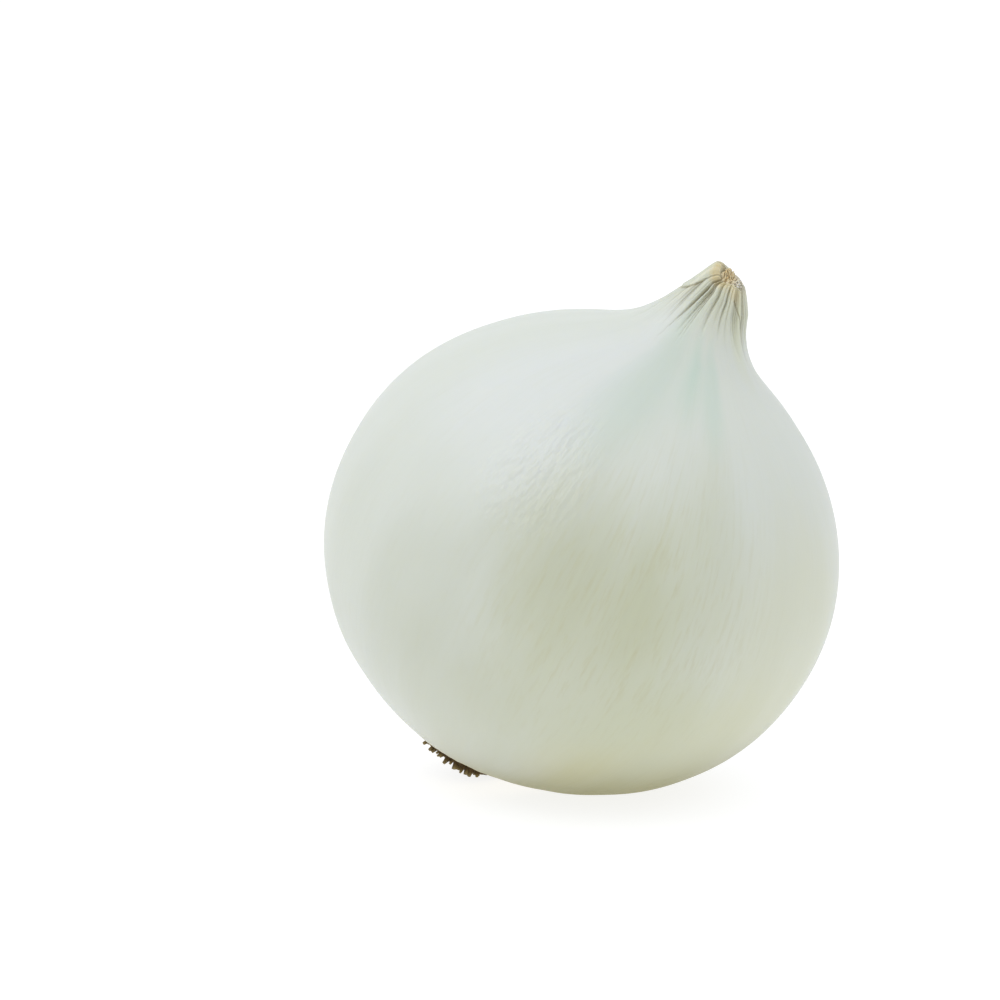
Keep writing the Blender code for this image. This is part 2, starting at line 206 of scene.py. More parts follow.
def onion_points(radius, azimuth, height):
    """Place points of the round onion, given in mm and radians, on the real one, as rows of x, y and z."""
    radius, azimuth, height = np.broadcast_arrays(radius, azimuth, height)
    latitude = np.arctan2(height, radius)
    rise = np.clip((height - NECK_FOOT) / NECK_LENGTH, 0, 1)
    fade = np.clip((NECK_FOOT + NECK_LENGTH - height) / NECK_LENGTH, 0, 1)
    swell = LOPSIDED * fade * np.sin(2 * latitude) * np.cos(azimuth - LOPSIDED_TOWARDS)
    scale = 1 + swell / np.hypot(radius, height)
    x = scale * radius * np.cos(azimuth) + NECK_BEND * rise ** 2 - ROOT_ASIDE * soft_step(height, *ROOT_END)
    y = scale * radius * np.sin(azimuth)
    slope = MOUTH_SLOPE * rise ** 2 * np.cos(azimuth) * np.minimum(radius / MOUTH_RADIUS, 1)
    return np.stack([x, y, scale * height - slope], axis=-1)


widest_radius, its_height = max(BODY_OUTLINE)
print("widest point:", onion_points(widest_radius, 0, its_height).round(2))

# %% [markdown]
# ## Pleats and wrinkles
#
# As the neck dries it shrinks, and the skin, which can't shrink as much, gathers into pleats like cloth
# in a drawstring. The pleats twist a little round the neck on their way up. Those on the side that
# shows best are given one by one, those behind are drawn at random from a fixed seed, so they come out
# the same every time.

# %% Draw the pleats
FRONT_PLEATS = [(-147, 0.5, 48.5, 0), (-129, 0.7, 47.5, 0), (-106, 0.6, 48.0, -1.6), (-97, 0.7, 46.5, -1.4),
                (-79, 0.55, 48.0, 0), (-60, 0.4, 48.5, 0.5), (-38, 0.4, 46.0, 1.9), (-12, 0.4, 45.0, 0.3)]
BACK_PLEATS = 13
PLEAT_SEED = 7
PLEAT_DEPTH = (0.5, 1.1)
PLEAT_FOOT = (43.0, 47.0)
PLEAT_SHIFT = 0.2


def draw_pleats():
    """Each pleat as azimuth in radians, depth and foot height in mm and drift, in order round the neck."""
    pleats = [(math.radians(degrees), depth, foot, math.radians(drift))
              for degrees, depth, foot, drift in FRONT_PLEATS]
    draw = random.Random(PLEAT_SEED)
    start = pleats[-1][0]
    step = (pleats[0][0] + 2 * math.pi - start) / (BACK_PLEATS + 1)
    for i in range(BACK_PLEATS):
        azimuth = start + step * (i + 1 + draw.uniform(-PLEAT_SHIFT, PLEAT_SHIFT))
        pleats.append((azimuth, draw.uniform(*PLEAT_DEPTH), draw.uniform(*PLEAT_FOOT), 0))
    return pleats


pleats = draw_pleats()
print(len(pleats), "pleats, the deepest", round(max(depth for _, depth, _, _ in pleats), 2), "mm deep")

# %% [markdown]
# Each pleat is a narrow valley that deepens towards the mouth, and between valleys the skin puffs out.
# A pleat follows the leaf as it grew, so its azimuth is measured below the twist of the neck. Some
# pleats also drift sideways on their way down.

# %% Cut in along the pleats and puff out between them
TWIST = math.radians(2)
TWIST_FOOT = 44
DRIFT_REACH = 9
PLEAT_FULL = 54
PLEAT_ONSET = 0.8
PLEAT_SHARPNESS = 1.5
PLEAT_HALF_WIDTH = 0.4
FOLD_PUFF = 0.22


def untwisted(azimuth, height):
    """The azimuth where the growth line through a point starts, below the twist of the neck."""
    return azimuth + TWIST * np.maximum(height - TWIST_FOOT, 0)


def slipped(centre, drift, height):
    """Where a fold runs at a height, once it has drifted sideways on its way down."""
    return centre + drift * np.clip(PLEAT_FULL - height, 0, DRIFT_REACH)


def distance_round(azimuth, centre, radius):
    """How far an azimuth is from another, along the surface."""
    return np.abs((azimuth - centre + math.pi) % (2 * math.pi) - math.pi) * radius


def valleys(azimuth, radius, height, centre, depth, foot, half_width):
    """How deep one pleat or wrinkle cuts in at each point."""
    deep = np.clip((height - foot) / (PLEAT_FULL - foot), 0, 1) ** PLEAT_ONSET
    across = np.maximum(1 - distance_round(azimuth, centre, radius) / half_width, 0) ** PLEAT_SHARPNESS
    return depth * deep * across


def puffs(pleats, azimuth, height):
    """How far the skin swells out between one pleat and the next."""
    swell = np.zeros(np.broadcast(azimuth, height).shape)
    for i, (centre, _, foot, drift) in enumerate(pleats):
        valley = slipped(centre, drift, height)
        following, _, _, its_drift = pleats[(i + 1) % len(pleats)]
        width = (slipped(following, its_drift, height) - valley) % (2 * math.pi)
        along = ((azimuth - valley) % (2 * math.pi)) / width
        deep = np.clip((height - foot) / (PLEAT_FULL - foot), 0, 1) ** PLEAT_ONSET
        swell += np.where(along < 1, FOLD_PUFF * deep * np.sin(math.pi * np.clip(along, 0, 1)), 0)
    return swell


print("the neck twists by", round(math.degrees(TWIST)), "degrees per mm above", TWIST_FOOT, "mm")

# %% [markdown]
# Many finer wrinkles run between the pleats. They have the same formula, only narrower and shallower,
# and each drifts as the pleats beside it do.

# %% Draw the wrinkles
WRINKLES = 170
WRINKLE_SEED = 11
WRINKLE_DEPTH = (0.05, 0.28)
WRINKLE_FOOT = (43.0, 51.0)
WRINKLE_HALF_WIDTH = (0.1, 0.22)


def draw_wrinkles(pleats):
    """The fine wrinkles as azimuth, depth, foot height, half width, and the drift of their place."""
    draw = random.Random(WRINKLE_SEED)
    places = [pleat[0] for pleat in pleats]
    drifts = [pleat[3] for pleat in pleats]
    wrinkles = []
    for _ in range(WRINKLES):
        azimuth = draw.uniform(0, 2 * math.pi)
        drift = np.interp(azimuth, places, drifts, period=2 * math.pi)
        wrinkles.append((azimuth, draw.uniform(*WRINKLE_DEPTH), draw.uniform(*WRINKLE_FOOT),
                         draw.uniform(*WRINKLE_HALF_WIDTH), drift))
    return wrinkles


wrinkles = draw_wrinkles(pleats)
print(len(wrinkles), "wrinkles")

# %% [markdown]
# ## The folded lap and the torn edge
#
# Two things break the even pleats. The outermost skin lies over the back of the neck as a smooth lap,
# with a free lower edge that climbs to the mouth in front. And beside it a short tear crosses the
# folds. Both are drawn as lines of azimuth and height, and the skin steps out or cuts in along them.

# %% Draw the lap and the tear
LAP_EDGE = [(-250, 57.5), (-240, 54.8), (-212, 52.6), (-180, 51.5), (-160, 51.6),
            (-145, 52.4), (-138, 53.1), (-132, 53.9), (-127, 55.3), (-125, 57.5)]
LAP_STEP = 0.26
LAP_EDGE_WIDTH = 0.22
LAP_GROOVE = (0.3, 0.25)
LAP_GROOVE_DEPTH = 0.6
LAP_LEAST = 0.3
LAP_SMOOTHS = 0.8
OUT_OF_REACH = 99.0
LOBE_MIDDLE = math.radians(-142)
LOBE_SPREAD = math.radians(27)
LOBE_FADE = math.radians(45)
LOBE_FIRMNESS = 2
LAP_PLEATS = [(-161, 0.4, 52.4), (-172, 0.35, 52.0)]
LAP_PLEAT_HALF_WIDTH = 0.2
TEAR = [(-40.0, 55.5), (-32.7, 54.9), (-22.9, 54.0), (-16.5, 52.9), (-15.5, 52.0)]
TEAR_DEPTH = 0.3
TEAR_HALF_WIDTH = 0.16


def lap_edge_height(azimuth):
    """The height of the lap's free edge over each azimuth, above the mouth where there is no lap."""
    corners = np.array(LAP_EDGE)
    degrees = (np.degrees(azimuth) - corners[0, 0]) % 360 + corners[0, 0]
    return np.interp(degrees, corners[:, 0], corners[:, 1], left=OUT_OF_REACH, right=OUT_OF_REACH)


def distance_to_line(azimuth, radius, height, line):
    """How far each point is from a line that is drawn on the skin, in mm."""
    nearest = np.full(np.broadcast(azimuth, height).shape, OUT_OF_REACH)
    for (turn_a, height_a), (turn_b, height_b) in zip(line, line[1:]):
        across = ((azimuth - math.radians(turn_a) + math.pi) % (2 * math.pi) - math.pi) * radius
        up = height - height_a
        run = math.radians(turn_b - turn_a) * radius
        climb = height_b - height_a
        share = np.clip((across * run + up * climb) / (run ** 2 + climb ** 2), 0, 1)
        nearest = np.minimum(nearest, np.hypot(across - share * run, up - share * climb))
    return nearest


print("lap edge behind the neck:", lap_edge_height(math.pi), "mm")

# %% [markdown]
# ## The skin as one mesh
#
# The skin could be a sphere that is sculpted, or a curve that is spun. A grid of rows and columns is
# better here, because each point then knows its azimuth and height, and pleats, lap and veins are all
# functions of those two. The rows lie closer together at the neck, where the detail is.
#
# The folds are moved points and not a bump texture. A bump only turns the light, so at the rim of the
# neck, where folds stand out against the white behind, it would leave a smooth edge.
#
# Below the neck the skin is smooth, but not quite. The thick leaf bases inside press faint ribs into
# it, small puckers draw it in round the root plate, and on one shoulder it has lifted off and lies in
# crinkles. Each of these is a wave of a few tenths of a millimetre at most.

# %% Low relief of the body
RIB_SEED = 3
RIBS = 9
RIB_DEPTH = 0.05
RIB_WAVES = (5, 23)
RIB_SHARE = (0.3, 1)
RIB_TURN = 0.01
RIBS_FADE = (-50, -36)
PUCKERS = 34
PUCKER_DEPTH = 0.12
PUCKERS_FADE = (33, 41)
PUCKER_BEAT = (0.6, 0.5, 1.3)
CRINKLE_MIDDLE = (-110, 23)
CRINKLE_SPREAD = 10
CRINKLE_DEPTH = 0.06
CRINKLE_SLANT = (1.7, 0.7)
CRINKLE_WANDER = (1.5, 0.7, 9)


def ribs(azimuth, height):
    """Faint lengthways ribs, where one thick leaf base inside lies beside the next."""
    draw = random.Random(RIB_SEED)
    relief = 0.0
    for _ in range(RIBS):
        waves = draw.randint(*RIB_WAVES)
        lag = draw.uniform(0, 2 * math.pi)
        relief = relief + np.cos(waves * azimuth + lag + RIB_TURN * height) * draw.uniform(*RIB_SHARE)
    return RIB_DEPTH * relief


def puckers(azimuth, height):
    """Small pleats that draw the skin in round the root plate, every other one a little deeper."""
    strength, pace, lag = PUCKER_BEAT
    waves = np.cos(PUCKERS * azimuth) + strength * np.cos(pace * PUCKERS * azimuth + lag)
    return -PUCKER_DEPTH * soft_step(-height, *PUCKERS_FADE) * np.abs(waves)


def crinkle(azimuth, radius, height):
    """A patch of fine crinkles where the dry skin has lifted off the leaf below."""
    along = (azimuth - math.radians(CRINKLE_MIDDLE[0]) + math.pi) % (2 * math.pi) - math.pi
    up = height - CRINKLE_MIDDLE[1]
    away = np.hypot(along * radius, up) / CRINKLE_SPREAD
    slant = along * radius * CRINKLE_SLANT[0] + up * CRINKLE_SLANT[1]
    sway, pace_up, pace_round = CRINKLE_WANDER
    wander = sway * np.sin(pace_up * up + pace_round * along)
    return CRINKLE_DEPTH * np.exp(-away ** 2) * np.sin(slant + wander)


print("ribs:", RIBS, "and puckers:", PUCKERS)

# %% [markdown]
# The mouth isn't a level ring. On the side that the neck leans to, the dry skin stands up as a hood and
# is pushed over, and in front it has sunk into a notch. Each is given by its middle, by how far it
# spreads round the neck, and by how far it raises, lowers or pushes the rim.

# %% How the mouth has dried
RIM_LIFT = -0.15
RIM_ASIDE = 0.2
HOOD_CENTRE = math.radians(25)
HOOD_SPREAD = math.radians(135)
HOOD_LIFT = 2.3
HOOD_ASIDE = 1.6
NOTCH_CENTRE = math.radians(-110)
NOTCH_SPREAD = math.radians(62)
NOTCH_DEPTH = 1.6


def bump_round(azimuth, centre, spread):
    """1 at the centre, falling smoothly to 0 at an angle of spread to both sides."""
    away = np.abs((azimuth - centre + math.pi) % (2 * math.pi) - math.pi) / spread
    return np.cos(0.5 * math.pi * np.minimum(away, 1)) ** 2


def mouth_shape(start, near_rim):
    """How far the skin is raised, and how far it is pushed aside, where it has dried round the mouth."""
    hood = bump_round(start, HOOD_CENTRE, HOOD_SPREAD)
    notch = bump_round(start, NOTCH_CENTRE, NOTCH_SPREAD)
    lift = RIM_LIFT + HOOD_LIFT * hood - NOTCH_DEPTH * notch
    aside = RIM_ASIDE + HOOD_ASIDE * hood
    return lift * near_rim, aside * near_rim


print("the hood rises", HOOD_LIFT, "mm")

# %% [markdown]
# All the relief adds up to one number for each point: how far the skin stands out from the smooth
# outline. On the front lobe of the lap the folds are nearly smoothed away, because a dry sheet bridges
# the pleats below it. A second number says how deep in a fold or a tear each point lies, and the finish
# darkens it there: partly soil, partly painted shade in the folds, the tear and the groove under the lap.

# %% Relief of the skin
# How dark wrinkles, the tear and the groove under the lap's edge are drawn: partly soil, partly painted
# shade.
WRINKLE_SHADE = 2
TEAR_SHADE = 0.9
GROOVE_SHADE = 0.8


def folds_at(start, radius, height):
    """How deep the pleats cut in at each point, and how deep the finer wrinkles do."""
    folds = np.zeros(np.broadcast(start, height).shape)
    for centre, depth, foot, drift in pleats:
        valley = slipped(centre, drift, height)
        folds += valleys(start, radius, height, valley, depth, foot, PLEAT_HALF_WIDTH)
    fine = np.zeros_like(folds)
    for degrees, depth, foot in LAP_PLEATS:
        fine += valleys(start, radius, height, math.radians(degrees), depth, foot, LAP_PLEAT_HALF_WIDTH)
    for centre, depth, foot, half_width, drift in wrinkles:
        fine += valleys(start, radius, height, slipped(centre, drift, height), depth, foot, half_width)
    return folds, fine


def lap_at(start, height):
    """How far each point is on the lap, and how near it is to the groove below the lap's free edge."""
    above_edge = height - lap_edge_height(start)
    lap = soft_step(above_edge, -LAP_EDGE_WIDTH, 0)
    groove = np.exp(-((above_edge + LAP_GROOVE[0]) / LAP_GROOVE[1]) ** 2) * (1 - lap)
    return lap, groove


def skin_relief(azimuth, radius, height):
    """How far the skin stands out from the smooth outline, and how deep in a fold each point lies."""
    start = untwisted(azimuth, height)
    folds, fine = folds_at(start, radius, height)
    lap, groove = lap_at(start, height)
    tear = np.maximum(1 - distance_to_line(start, radius, height, TEAR) / TEAR_HALF_WIDTH, 0)
    on_lobe = bump_round(start, LOBE_MIDDLE, LOBE_SPREAD)
    near_lobe = LAP_LEAST + (1 - LAP_LEAST) * bump_round(start, LOBE_MIDDLE, LOBE_FADE)
    smoothed = 1 - LAP_SMOOTHS * lap * np.minimum(LOBE_FIRMNESS * on_lobe, 1)
    step = LAP_STEP * near_lobe
    relief = (puffs(pleats, start, height) - folds - fine) * smoothed + step * lap
    relief += ribs(azimuth, height) * soft_step(-height, *RIBS_FADE)
    relief += puckers(azimuth, height) + crinkle(azimuth, radius, height)
    relief -= TEAR_DEPTH * tear + LAP_GROOVE_DEPTH * step * groove
    shade = (folds + WRINKLE_SHADE * fine) * smoothed + TEAR_SHADE * tear + GROOVE_SHADE * near_lobe * groove
    return relief, np.clip(shade, 0, 1)


print("folds and wrinkles summed up:", len(pleats) + len(LAP_PLEATS) + len(wrinkles))

# %% [markdown]
# A few helpers serve every piece. Points are worked out on the upright onion in millimetres, and only
# the last step lays them over. What would reach below the table is pressed flat.
#
# The finish needs to know where on the leaf each point grew. So each point carries its azimuth before
# the twist, as a place on a circle, and its height. A circle has no seam, and an angle would have one.

# %% Helpers that make a piece
def grid_faces(rows, columns):
    """Quads between the rows of a grid whose columns close into a ring."""
    corner = np.arange(rows * columns).reshape(rows, columns)
    beside = np.roll(corner, -1, axis=1)
    return np.stack([corner[:-1], beside[:-1], beside[1:], corner[1:]], axis=-1).reshape(-1, 4)


def add_piece(name, points, faces, finish):
    """Make an object from points in mm on the upright onion, and lay it down with the rest."""
    laid_down = np.asarray(points) * MM @ LEAN_ROWS.T + np.array(HEART)
    data = bpy.data.meshes.new(name)
    data.from_pydata(laid_down.tolist(), [], faces)
    data.shade_smooth()
    data.materials.append(finish)
    piece = bpy.data.objects.new(name, data)
    bpy.context.scene.collection.objects.link(piece)
    return piece


def note_points(piece, name, values):
    """Write one number or one vector per point into the mesh, for the finish to read."""
    values = np.asarray(values, dtype=np.float32)
    kind, field = ("FLOAT", "value") if values.ndim == 1 else ("FLOAT_VECTOR", "vector")
    layer = piece.data.attributes.new(name, kind, "POINT")
    layer.data.foreach_set(field, values.ravel())


def set_down(points):
    """Press flat what would reach below the table."""
    table = HEART.z / MM
    below = np.maximum(points @ DOWN - table, 0)
    return points - below[..., None] * DOWN


def note_of_growth(start, height, radius):
    """Where a point grew: its azimuth before the twist, as a place on a circle, and its height."""
    return np.stack(np.broadcast_arrays(radius * np.cos(start), radius * np.sin(start), height), axis=-1)


print("the onion's heart is", round(HEART.z / MM, 1), "mm above the table")

# %% [markdown]
# Now the grid becomes a mesh. Its first and last row are closed with a fan of triangles each, so the
# skin is one closed body. Past the rim the skin turns down into the mouth, and its folds grow flatter
# there. The edge of the rim is drawn darker too, except by the lobe of the lap.

# %% Turn the grid into a mesh
COLUMNS = 400
NOTE_RADIUS = 45
INNER_ROWS = sum(MOUTH_ROWS[2:])
INSIDE_FLATTER = 0.6
RIM_REACH = (54.0, 57.0)
RIM_EDGE_DARK = 0.55
RIM_EDGE_ROWS = 1.6
RIM_EDGE_FREE = math.radians(75)


def skin_grid():
    """The rows and columns of the skin: where each point lies, where it grew, and how dark it is."""
    azimuth = 2 * math.pi * np.arange(COLUMNS)[None, :] / COLUMNS
    radius = outline[:, 0:1]
    height = outline[:, 1:2]
    start = untwisted(azimuth, height)
    relief, shade = skin_relief(azimuth, radius, height)
    beyond_rim = np.arange(len(outline))[:, None] - (len(outline) - 1 - INNER_ROWS)
    inside = np.clip(beyond_rim / INNER_ROWS, 0, 1)
    relief = relief * (1 - INSIDE_FLATTER * inside)
    relief[:len(ROOT_RECESS)] = 0
    near_rim = np.where(inside > 0, 1 - inside, soft_step(height, *RIM_REACH))
    lift, aside = mouth_shape(start, near_rim)
    points = onion_points(radius + relief, azimuth, height + lift)
    points[..., 0] -= aside
    # The edge of the rim is drawn darker, except by the lobe of the lap.
    rim_edge = RIM_EDGE_DARK * np.exp(-(beyond_rim / RIM_EDGE_ROWS) ** 2)
    shade = np.maximum(shade, rim_edge * (1 - bump_round(start, LOBE_MIDDLE, RIM_EDGE_FREE)))
    return set_down(points), note_of_growth(start, height, NOTE_RADIUS), shade


def skin_mesh():
    """The whole skin, closed at both ends: points, faces, and the notes for the finish."""
    points, grown, shade = skin_grid()
    faces = grid_faces(len(outline), COLUMNS).tolist()
    first = (len(outline) - 1) * COLUMNS
    for i in range(COLUMNS):
        j = (i + 1) % COLUMNS
        faces.append([j, i, first + COLUMNS])
        faces.append([first + i, first + j, first + COLUMNS + 1])
    heights = (outline[0, 1], outline[-1, 1])
    points = np.vstack([points.reshape(-1, 3)] + [onion_points(0.0, 0.0, height) for height in heights])
    grown = np.vstack([grown.reshape(-1, 3)] + [(0, 0, height) for height in heights])
    shade = np.append(shade.ravel(), [1, 1])
    return points, faces, grown, shade


print("columns round the skin:", COLUMNS)

# %% [markdown]
# ## The finish of the skin
#
# The skin is the outermost leaf, dead and dried to a parchment a tenth of a millimetre thin. Long veins
# run in it from the roots to the neck, a millimetre or two apart. It is smooth, so it has a soft satin
# gloss, and it lets some light through to the white flesh, which makes the bulb glow a little from
# inside.
#
# One picture wrapped round the bulb would have to be painted and would stretch at the ends. Noise that
# is drawn out along the growth of the leaf needs no painting and follows the twist of the neck, because
# each point of the mesh carries a note of where it grew. We draw five kinds: veins, finer fibres
# between them, short strokes where the drying skin is creased, broad soft crinkles, and a slow
# cloudiness.

# %% Patterns drawn out along the leaf
SMOOTHLY = {"interpolation_type": "SMOOTHSTEP"}
MIX_COLOUR = {"data_type": "RGBA"}
VEINS = (0.03, 1.3, 3, 0.6)
FIBRES = (0.03, 2.2, 2, 0.5)
STROKES = (0.17, 1.25, 4, 0.6)
CRINKLES = (0.5, 0.95, 1, 0.4)
CLOUD = (0.3, 0.08, 4, 0.5)


def drawn_out_noise(tree, grown, kinds):
    """Noise for each kind, given as squeeze along the leaf, scale per mm, detail and roughness."""
    patterns = []
    for squeeze, scale, detail, roughness in kinds:
        place = add_node(tree, "ShaderNodeVectorMath", {"operation": "MULTIPLY"},
                         {0: grown, 1: (1, 1, squeeze)}).outputs[0]
        noise = add_node(tree, "ShaderNodeTexNoise", {},
                         {"Vector": place, "Scale": scale, "Detail": detail, "Roughness": roughness})
        patterns.append(noise.outputs[0])
    return patterns


def place_on_skin(degrees, height):
    """The note that a point of the skin carries at an azimuth in degrees and a height in mm."""
    return note_of_growth(math.radians(degrees), height, NOTE_RADIUS).tolist()


print("grain of the veins and of the cloudiness, per mm:", VEINS[1], CLOUD[1])

# %% [markdown]
# The white of an onion is many whites. It is green where the living leaf below is thick, olive at the
# waist, and cream where the skin is driest. A bluish white is a painted highlight where the light falls
# full on the shoulder, and part of the olive on the front and lower side is painted shade. We lay these
# down like washes of water colour: each patch has a middle on the skin, a full part, a reach where it
# has faded away, a strength and a tint. The cloudiness moves the edge of each patch in and out, so that
# no patch looks round.

# %% Washes of colour over the skin
SKIN_WHITE = "#d2d6ce"
NECK_TINT = (46, 55, 0.6, "#c3c5ab")
# Olive washes: the skin's own olive, and on the front, the lower side and the left rim partly painted shade.
OLIVE_AND_SHADE_WASHES = [(-90, 13, 4, 22, 0.6, "#b3b697"), (-68, 19, 5, 20, 0.4, "#bcbf9f"),
                (-78, -4, 8, 28, 0.5, "#c0c3a5"), (-56, -12, 8, 26, 0.4, "#c3c6a6"),
                (-38, -12, 8, 26, 0.35, "#c6c6a0"), (-30, 12, 8, 28, 0.45, "#cecfb0"),
                (-104, -20, 6, 24, 0.4, "#bdc0a6"), (-118, -3, 6, 22, 0.4, "#bfc3b2"),
                (-146, -12, 8, 26, 0.35, "#c9cdbf"), (120, -5, 10, 52, 0.5, "#cdd1b0"),
                (-66, -24, 1, 15, 0.25, "#c9bd72")]
# The first pale wash is a painted highlight on the lit shoulder; the second is the cream of the dry lobe.
PALE_AND_HIGHLIGHT_WASHES = [(-130, 33, 6, 24, 0.45, "#dbdee0"), (-142, 55, 2, 8, 0.5, "#e6e3d0")]
GREEN_WASHES = [(-100, 42, 2, 17, 0.32, "#b0c6ba"), (-80, 43, 1, 9, 0.45, "#aecabb"),
                (-66, 42, 1, 8, 0.3, "#aecabb"), (-25, 52, 3, 12, 0.3, "#cdd0a8")]
WASH_WANDER = 0.7


def tinted(tree, colour, share, tint):
    """A colour with a share of a tint laid over it."""
    return add_node(tree, "ShaderNodeMix", MIX_COLOUR, {0: share, 6: colour, 7: linear(tint)}).outputs[2]


def wash_over(tree, grown, cloud, colour):
    """Lay every wash over a colour and give the colour that results."""
    for degrees, height, full, reach, strength, tint in OLIVE_AND_SHADE_WASHES + PALE_AND_HIGHLIGHT_WASHES + GREEN_WASHES:
        away = add_node(tree, "ShaderNodeVectorMath", {"operation": "DISTANCE"},
                        {0: grown, 1: place_on_skin(degrees, height)}).outputs["Value"]
        wander = WASH_WANDER * reach
        away = add_node(tree, "ShaderNodeMath", {"operation": "MULTIPLY_ADD"},
                        {0: cloud, 1: wander, 2: away}).outputs[0]
        outer, inner = reach + wander / 2, full + wander / 2
        share = add_node(tree, "ShaderNodeMapRange", SMOOTHLY,
                         {0: away, 1: outer, 2: inner, 3: 0, 4: strength}).outputs[0]
        colour = tinted(tree, colour, share, tint)
    return colour


print("washes:", len(OLIVE_AND_SHADE_WASHES + PALE_AND_HIGHLIGHT_WASHES + GREEN_WASHES))

# %% [markdown]
# Three more layers follow the mesh. Where the skin is driest, at the rim of the mouth and round the
# roots, it is tan. Deep in the folds the skin is darkened, partly by soil, as on any onion that was dried
# in the field, and partly by painted shade. And towards the table the white turns olive, which is painted
# shade where the bulb lies near the table. The strokes and veins show most at the waist, where the skin
# has come loose.

# %% Colour of the skin, in layers
STROKE_LOOK = (0.5, 0.72, 0.36, "#bab68e")
VEIN_LOOK = (0.45, 0.7, 0.27, "#c6cbb0")
BUSY_MIDDLE = (-76, 9)
BUSY_REACH = (8, 34)
BUSY_LEAST = 0.12
SOIL_AND_FOLD_SHADE_LOOK = (0.05, 0.9, 0.7, "#8f8465")
DRY_TAN = "#d3c296"
DRY_STREAKS = (0.35, 0.65, 0.6)
# The olive of the painted shade on the skin that lies near the table.
CONTACT_SHADE_OLIVE = "#7e782a"


def draw_veins(tree, grown, strokes, veins, colour):
    """Draw strokes and veins over a colour, plainly at the waist and faintly elsewhere."""
    away = add_node(tree, "ShaderNodeVectorMath", {"operation": "DISTANCE"},
                    {0: grown, 1: place_on_skin(*BUSY_MIDDLE)}).outputs["Value"]
    busy = add_node(tree, "ShaderNodeMapRange", SMOOTHLY,
                    {0: away, 1: BUSY_REACH[0], 2: BUSY_REACH[1], 3: 1, 4: BUSY_LEAST}).outputs[0]
    for pattern, (faint, full, strength, tint) in ((strokes, STROKE_LOOK), (veins, VEIN_LOOK)):
        share = add_node(tree, "ShaderNodeMapRange", {},
                         {0: pattern, 1: faint, 2: full, 3: 0, 4: strength}).outputs[0]
        share = add_node(tree, "ShaderNodeMath", {"operation": "MULTIPLY"}, {0: share, 1: busy}).outputs[0]
        colour = tinted(tree, colour, share, tint)
    return colour


def skin_colour(tree, grown, notes, patterns):
    """The colour of the skin, built up in layers from its plain white."""
    veins, _, strokes, _, cloud = patterns
    height = add_node(tree, "ShaderNodeSeparateXYZ", {}, {0: grown}).outputs["Z"]
    start, end, strength, tint = NECK_TINT
    neck = add_node(tree, "ShaderNodeMapRange", SMOOTHLY,
                    {0: height, 1: start, 2: end, 3: 0, 4: strength}).outputs[0]
    colour = tinted(tree, linear(SKIN_WHITE), neck, tint)
    colour = wash_over(tree, grown, cloud, colour)
    # Painted shade: the skin turns olive towards the table.
    colour = tinted(tree, colour, notes["contact_shade"], CONTACT_SHADE_OLIVE)
    colour = draw_veins(tree, grown, strokes, veins, colour)
    start, end, least = DRY_STREAKS
    streaks = add_node(tree, "ShaderNodeMapRange", {},
                       {0: veins, 1: start, 2: end, 3: least, 4: 1}).outputs[0]
    dry = add_node(tree, "ShaderNodeMath", {"operation": "MULTIPLY"},
                   {0: notes["dry"], 1: streaks}).outputs[0]
    colour = tinted(tree, colour, dry, DRY_TAN)
    # Soil and painted shade in the folds, the tear and the groove under the lap, and the darker rim edge.
    start, end, strength, tint = SOIL_AND_FOLD_SHADE_LOOK
    soil_and_shade = add_node(tree, "ShaderNodeMapRange", {},
                    {0: notes["shade"], 1: start, 2: end, 3: 0, 4: strength}).outputs[0]
    return tinted(tree, colour, soil_and_shade, tint)


print("tan where driest:", DRY_TAN)

# %% [markdown]
# The relief comes from the same noise, so light and colour agree. The crinkles are strong in one patch
# alone, the same that the mesh has already raised, and give it the finer waves that the mesh is too
# coarse for.
#
# The shader is a satin one: a roughness of 0.42 spreads the gloss wide, and a subsurface weight of a
# third with a reach of 3 mm gives the glow of the flesh.

# %% Satin parchment
CRINKLE_REACH = (4, 14)
CRINKLE_RELIEF = 32
STROKE_RELIEF = 0.8
SKIN_BUMP = (0.25, 0.1 * MM)


def skin_bump(tree, grown, patterns):
    """The fine relief of veins and fibres, with plain crinkles in the patch where the skin has lifted."""
    veins, fibres, strokes, crinkles, _ = patterns
    away = add_node(tree, "ShaderNodeVectorMath", {"operation": "DISTANCE"},
                    {0: grown, 1: place_on_skin(*CRINKLE_MIDDLE)}).outputs["Value"]
    near, far = CRINKLE_REACH
    crinkled = add_node(tree, "ShaderNodeMapRange", SMOOTHLY,
                        {0: away, 1: near, 2: far, 3: CRINKLE_RELIEF, 4: 0}).outputs[0]
    relief = add_node(tree, "ShaderNodeMath", {"operation": "ADD"}, {0: veins, 1: fibres}).outputs[0]
    for pattern, share in ((strokes, STROKE_RELIEF), (crinkles, crinkled)):
        relief = add_node(tree, "ShaderNodeMath", {"operation": "MULTIPLY_ADD"},
                          {0: pattern, 1: share, 2: relief}).outputs[0]
    strength, distance = SKIN_BUMP
    return add_node(tree, "ShaderNodeBump", {},
                    {"Height": relief, "Strength": strength, "Distance": distance}).outputs[0]


